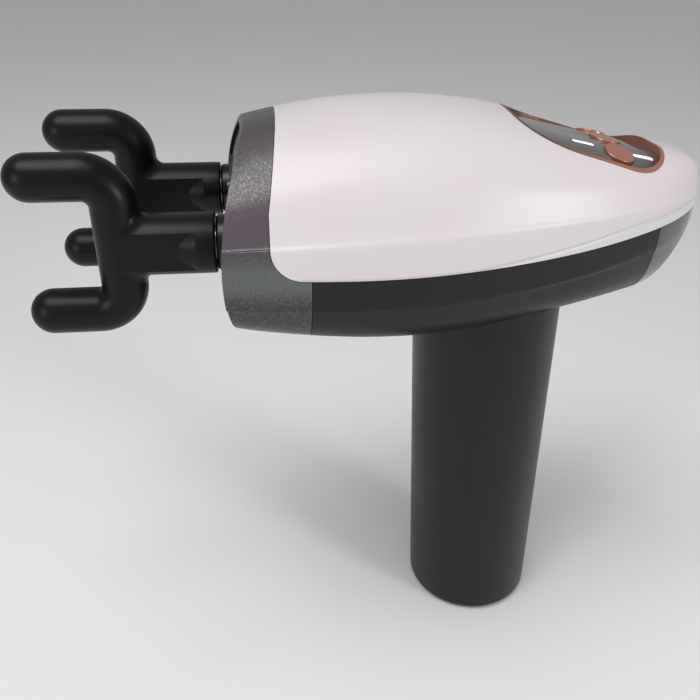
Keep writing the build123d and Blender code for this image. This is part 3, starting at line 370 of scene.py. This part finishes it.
# ---------------------------------------------------------------- massage heads
def head(side, across):
    """One moulded two-prong head on the stroke axis at that Y.

    Fork: a circle of radius 6.6 mm carried along tip, prong, bend (radius 8.2), bar, bend, prong, tip, where
    the tips are half spheres: radius 6.6 sin a at 6.6 cos a ahead of the tip centre.
    Stem: the section's reach at angle q is max(min(8.67, 6.6 / |cos q|), c), so a round bar with two side
    flats that a cone c turns into a round collar; near the bar its top and bottom rise by
    R - sqrt(R^2 - (R - t)^2) over the distance t to the bar's surface, the moulded fillet of radius R.
    """
    prong, stem, axis = 0.0066, 0.00867, 0.1654
    tip_x, bar_x, bend, offset = -0.1424, -0.1213, 0.0082, 0.020
    cap = np.linspace(0.0, np.pi / 2, 14)
    arc = np.linspace(0.0, np.pi / 2, 22)[1:]
    run = np.linspace(tip_x, bar_x - bend, 18)[1:]
    post = np.linspace(offset - bend, 0.0, 8)[1:]
    place_x = np.concatenate([
        tip_x - prong * np.cos(cap), run, bar_x - bend + bend * np.sin(arc), post * 0 + bar_x])
    place_z = np.concatenate([
        cap * 0 + offset, run * 0 + offset, offset - bend + bend * np.cos(arc), post])
    heading = np.concatenate([cap * 0, run * 0, arc, post * 0 + np.pi / 2])
    radius = np.concatenate([prong * np.sin(cap), run * 0 + prong, arc * 0 + prong, post * 0 + prong])
    around = np.linspace(0.0, 2 * np.pi, 72, endpoint=False)
    outward = radius[:, None] * np.cos(around)
    upper = np.stack([
        place_x[:, None] + outward * np.sin(heading)[:, None],
        across + radius[:, None] * np.sin(around),
        axis + place_z[:, None] + outward * np.cos(heading)[:, None],
    ], axis=-1)
    lower = upper[::-1][1:].copy()
    lower[..., 2] = 2 * axis - lower[..., 2]
    fork = np.concatenate([upper, lower])

    flat_x, cone_x, collar_x, end_x, edge, fillet = -0.1110, -0.1050, -0.0996, -0.0942, 0.0005, 0.0026
    corner = np.linspace(0.0, np.pi / 2, 6)
    length = np.concatenate([
        np.linspace(bar_x, bar_x + prong + fillet, 40), np.linspace(flat_x, cone_x, 10),
        np.linspace(cone_x, collar_x, 22)[1:]])
    station = np.concatenate([[bar_x], length, end_x - edge + edge * np.sin(corner), [end_x]])
    shrink = np.concatenate([
        [0.0], np.ones(len(length)), (stem - edge + edge * np.cos(corner)) / stem, [0.0]])
    around = np.linspace(0.0, 2 * np.pi, 160, endpoint=False)
    cone = np.clip(prong + (station - cone_x) / (collar_x - cone_x) * (stem - prong), prong, stem)
    flatted = np.minimum(stem, prong / np.maximum(np.abs(np.cos(around)), 1e-6))
    reach = np.maximum(flatted, cone[:, None]) * shrink[:, None]
    y, z = reach * np.cos(around), reach * np.sin(around)
    gap = np.clip(np.hypot(station[:, None] - bar_x, y) - prong, 0.0, fillet)
    rise = fillet - np.sqrt(fillet ** 2 - (fillet - gap) ** 2)
    fade_start, fade_width = 0.0052, 0.0024
    share = np.clip((np.abs(z) - fade_start) / fade_width, 0.0, 1.0)
    z = z + np.sign(z) * rise * share * share * (3 - 2 * share)
    stem_grid = np.stack([station[:, None] + 0 * y, across + y, axis + z], axis=-1)
    solid("head_" + side + "_moulded", [fork, stem_grid], "head_" + side)


# ---------------------------------------------------------------- finishes on the CAD nodes
for node_name, node in frame["nodes"].items():
    node.data.materials.clear()
    node.data.materials.append(finishes[slot_of[node_name]])
plunger_reach = 0.02345
head("left", -plunger_reach)
head("right", plunger_reach)
for node_name, width in {
    "top_cover": 0.00025, "front_bezel": 0.0002, "front_plate": 0.0003, "lower_shell": 0.0002,
    "rear_cover": 0.0003, "handle_shell": 0.0002, "base_cap": 0.0003, "panel_rim": 0.0002,
    "button_minus": 0.00035, "button_power": 0.00035, "button_plus": 0.00035,
    "plunger_left": 0.0003, "plunger_right": 0.0003,
}.items():
    eased(node_name, width)


# ---------------------------------------------------------------- camera, light and floor
def studio():
    """Camera at the reference angle, one large soft key, a low fill, a pale floor and a pale backdrop."""
    scene = bpy.context.scene
    yaw, pitch, roll = 0.127, 0.539, -0.019
    ahead = Vector((np.sin(yaw) * np.cos(pitch), np.cos(yaw) * np.cos(pitch), -np.sin(pitch)))
    level = Vector((np.cos(yaw), -np.sin(yaw), 0.0))
    down = ahead.cross(level)
    right = np.cos(roll) * level + np.sin(roll) * down
    below = -np.sin(roll) * level + np.cos(roll) * down
    camera_data = bpy.data.cameras.new("camera")
    camera_data.sensor_width = 36.0
    camera_data.lens = 39.08
    camera_data.shift_x = -0.0056
    camera_data.shift_y = -0.0016
    camera_data.clip_start = 0.01
    camera = bpy.data.objects.new("camera", camera_data)
    turn = Matrix((right, -below, -ahead)).transposed().to_4x4()
    camera.matrix_world = Matrix.Translation((-0.08023, -0.22909, 0.25159)) @ turn
    scene.collection.objects.link(camera)
    scene.camera = camera

    for name, place, aim, size, power in (
        ("key", (-0.30, -0.20, 0.95), (-0.02, 0.0, 0.15), 0.5, 4.3),
        ("side", (0.62, -0.62, 0.34), (0.02, 0.0, 0.08), 0.20, 2.6),
        ("front", (-0.60, -0.50, 0.30), (-0.08, 0.0, 0.15), 0.30, 1.0),
    ):
        light_data = bpy.data.lights.new(name, "AREA")
        light_data.size = size
        light_data.energy = power
        light = bpy.data.objects.new(name, light_data)
        light.location = place
        light.rotation_euler = (Vector(aim) - Vector(place)).to_track_quat("-Z", "Y").to_euler()
        scene.collection.objects.link(light)

    world = bpy.data.worlds.new("studio")
    world.use_nodes = True
    world.node_tree.nodes["Background"].inputs[0].default_value = rgb(1.0, 1.0, 1.0)
    world.node_tree.nodes["Background"].inputs[1].default_value = 0.36
    scene.world = world
    scene.view_settings.view_transform = "Standard"

    floor_mesh = bpy.data.meshes.new("floor")
    reach = 3.0
    corners = [(-reach, -reach, 0), (reach, -reach, 0), (reach, reach, 0), (-reach, reach, 0)]
    floor_mesh.from_pydata(corners, [], [(0, 1, 2, 3)])
    floor = bpy.data.objects.new("floor", floor_mesh)
    pale = Finish("pale_floor", Specular_IOR_Level=0.2)
    tone = pale.noise(9.0, 3.0)
    pale.feed(Base_Color=pale.mix(tone, rgb(0.90, 0.90, 0.90), rgb(0.87, 0.87, 0.87)))
    pale.feed(Roughness=0.7 + tone * 0.1)
    floor_mesh.materials.append(pale.material)
    scene.collection.objects.link(floor)


studio()
